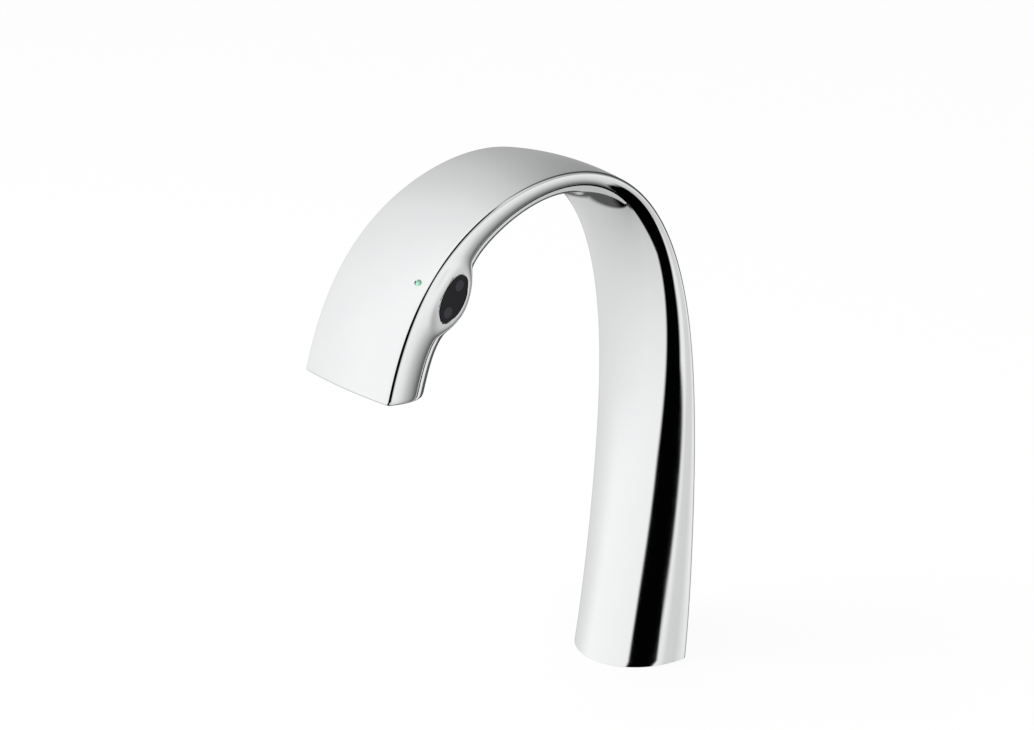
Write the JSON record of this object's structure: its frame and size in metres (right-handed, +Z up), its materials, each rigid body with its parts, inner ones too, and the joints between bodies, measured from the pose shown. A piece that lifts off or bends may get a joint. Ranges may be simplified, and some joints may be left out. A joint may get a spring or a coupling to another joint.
{
  "type": "sensor tap",
  "caption": "Deck-mounted swan-neck tap in polished metal that opens without touch: sensor window in the side of the spout, aerator at the tip, shank with clamp nut below.",
  "frame": {"origin": "centre of the threaded shank in the plane of the base's underside, which is the deck's surface", "axes": "+Z up out of the deck, the spout reaches towards -Y, and the sensor window faces +X"},
  "size_m": [0.0652, 0.1923, 0.354],
  "materials": {
    "chrome_plate": "polished chromium plate on cast brass",
    "raw_brass": "turned brass, bare",
    "nickel_brass": "nickel-plated brass",
    "stainless": "stamped stainless steel",
    "zinc_steel": "zinc-plated steel screws",
    "black_rubber": "moulded rubber, matt",
    "dark_window": "infrared-passing plastic, polished, near black",
    "black_moulding": "glass-filled nylon, matt black",
    "white_acetal": "moulded acetal, white",
    "circuit_green": "glass-fibre board, green mask",
    "diode_epoxy": "tinted epoxy",
    "clear_diode": "clear epoxy",
    "green_pipe": "translucent green acrylic, lit",
    "tube_plastic": "cross-linked polyethylene, milky",
    "lead_sheath": "extruded lead sheath, black"
  },
  "bodies": {
    "tap": {"spout_body": "chrome_plate", "base_plate": "raw_brass", "plate_screws": "zinc_steel", "base_gasket": "black_rubber", "threaded_shank": "raw_brass", "shank_plug": "black_moulding", "inlet_nipple": "nickel_brass", "lead_grommet": "black_rubber", "outlet_adapter": "raw_brass", "adapter_oring": "black_rubber", "sensor_window": "dark_window", "window_seal": "black_rubber", "sensor_housing": "black_moulding", "housing_cover": "black_moulding", "module_screws": "zinc_steel", "circuit_board": "circuit_green", "ir_emitter": "diode_epoxy", "ir_receiver": "diode_epoxy", "light_baffle": "black_moulding", "light_pipe": "green_pipe", "indicator_led": "clear_diode", "led_holder": "black_moulding", "water_tube": "tube_plastic", "sensor_lead": "lead_sheath", "tube_ferrules": "stainless", "lead_clips": "black_moulding"},
    "clamp_washers": {"rubber_washer": "black_rubber", "steel_washer": "stainless"},
    "clamp_nut": {"mounting_nut": "nickel_brass"},
    "aerator_seat": {"aerator_washer": "black_rubber"},
    "aerator": {"aerator_housing": "chrome_plate", "outlet_grid": "white_acetal", "mixing_screens": "stainless", "diffuser": "white_acetal", "flow_regulator": "white_acetal", "regulator_ring": "black_rubber"}
  },
  "joints": [
    {"name": "washers_up", "type": "slide", "parent": "tap", "child": "clamp_washers", "axis": [0, 0, 1], "range_m": [0, 0.03086]},
    {"name": "nut_turn", "type": "hinge", "parent": "clamp_washers", "child": "clamp_nut", "pos_m": [0, 0, -0.046], "axis": [0, 0, 1], "range_deg": [0, 6120]},
    {"name": "aerator_out", "type": "slide", "parent": "tap", "child": "aerator_seat", "axis": [0, -0.1547, -0.988], "range_m": [0, 0.00901]},
    {"name": "aerator_turn", "type": "hinge", "parent": "aerator_seat", "child": "aerator", "pos_m": [0, -0.14751, 0.1768], "axis": [0, -0.1547, -0.988], "range_deg": [0, 3240]}
  ],
  "couplings": [
    {"joint": "washers_up", "follows": "nut_turn", "m_per_rad": 0.00028875},
    {"joint": "aerator_out", "follows": "aerator_turn", "m_per_rad": 0.00015915}
  ]
}
